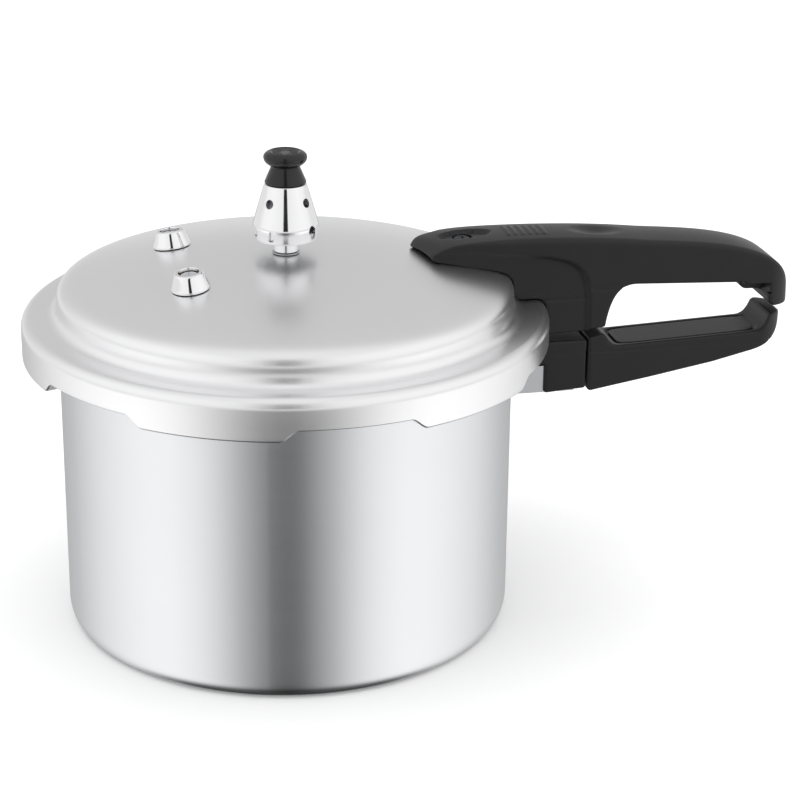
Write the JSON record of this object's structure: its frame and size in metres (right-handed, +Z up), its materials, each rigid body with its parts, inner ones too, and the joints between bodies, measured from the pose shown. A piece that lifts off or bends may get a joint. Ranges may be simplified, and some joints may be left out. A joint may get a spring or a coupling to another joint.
{
  "type": "pressure canner",
  "caption": "Stovetop pressure canner: straight aluminium pot, bayonet lid with a weighted vent valve and safety plugs, and a pair of black side handles that meet as a loop.",
  "frame": {"origin": "centre of the pot's flat base, on the axis of the pot and lid", "axes": "+Z up along the pot's axis; +X out along the two handles in the locked position"},
  "size_m": [0.39, 0.26, 0.238],
  "materials": {
    "satin_aluminium": "satin",
    "chrome": "polished",
    "black_bakelite": "semi-gloss moulded",
    "silicone_rubber": "matt",
    "zinc_steel": "bright",
    "brass": "turned"
  },
  "bodies": {
    "pot": {"pot_body": "satin_aluminium", "handle_bracket": "zinc_steel", "bracket_rivet_left": "satin_aluminium", "bracket_rivet_right": "satin_aluminium", "lower_handle_collar": "black_bakelite", "lower_handle_grip": "black_bakelite", "lower_handle_inlay": "black_bakelite", "lower_handle_screw": "zinc_steel"},
    "ring": {"sealing_ring": "silicone_rubber"},
    "lid": {"lid_shell": "satin_aluminium", "vent_pipe": "chrome", "vent_washer": "zinc_steel", "vent_nut": "zinc_steel", "anti_block_cap": "zinc_steel", "safety_cap_a": "chrome", "safety_plug_a": "brass", "fusible_disc_a": "zinc_steel", "safety_gasket_a": "silicone_rubber", "safety_cap_b": "chrome", "safety_plug_b": "brass", "fusible_disc_b": "zinc_steel", "safety_gasket_b": "silicone_rubber", "upper_handle": "black_bakelite", "lid_stud": "satin_aluminium", "handle_front_screw": "zinc_steel", "handle_rear_screw": "zinc_steel", "rear_screw_washer": "silicone_rubber"},
    "clip": {"weight_clip": "zinc_steel"},
    "weight": {"weight_core": "zinc_steel", "weight_shroud": "chrome", "weight_knob": "black_bakelite", "knob_stud": "zinc_steel"}
  },
  "joints": [
    {"name": "lid_lift", "type": "slide", "parent": "pot", "child": "ring", "axis": [0, 0, 1], "range_m": [0, 0.12]},
    {"name": "lid_turn", "type": "hinge", "parent": "ring", "child": "lid", "pos_m": [0, 0, 0.15], "axis": [0, 0, 1], "range_deg": [0, 30]},
    {"name": "weight_lift", "type": "slide", "parent": "lid", "child": "clip", "axis": [0, 0, 1], "range_m": [0, 0.03]},
    {"name": "weight_spin", "type": "hinge", "parent": "clip", "child": "weight", "pos_m": [0, 0, 0.2], "axis": [0, 0, 1], "continuous": true}
  ]
}
